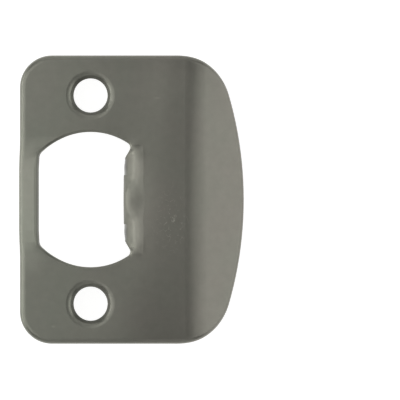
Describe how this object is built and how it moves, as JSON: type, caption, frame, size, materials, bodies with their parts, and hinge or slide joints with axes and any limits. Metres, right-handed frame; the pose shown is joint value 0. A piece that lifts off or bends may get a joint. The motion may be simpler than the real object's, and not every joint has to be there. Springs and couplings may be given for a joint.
{
  "type": "door strike plate",
  "caption": "Flat rectangular steel plate with a curved bent lip, a round-ended latch opening with a bent-back tang, and countersunk screw holes.",
  "frame": {"origin": "half way between the two screw holes, on the back face of the sheet", "axes": "+X across the plate towards the bent lip, +Y along the line of the screw holes, +Z out of the face that shows; left and right as seen from the front with +Y up"},
  "size_m": [0.0446, 0.0572, 0.0076],
  "materials": {
    "steel_satin_nickel": "satin, dull warm grey nickel plating"
  },
  "bodies": {
    "root": {"strike_plate": "steel_satin_nickel"}
  },
  "joints": []
}
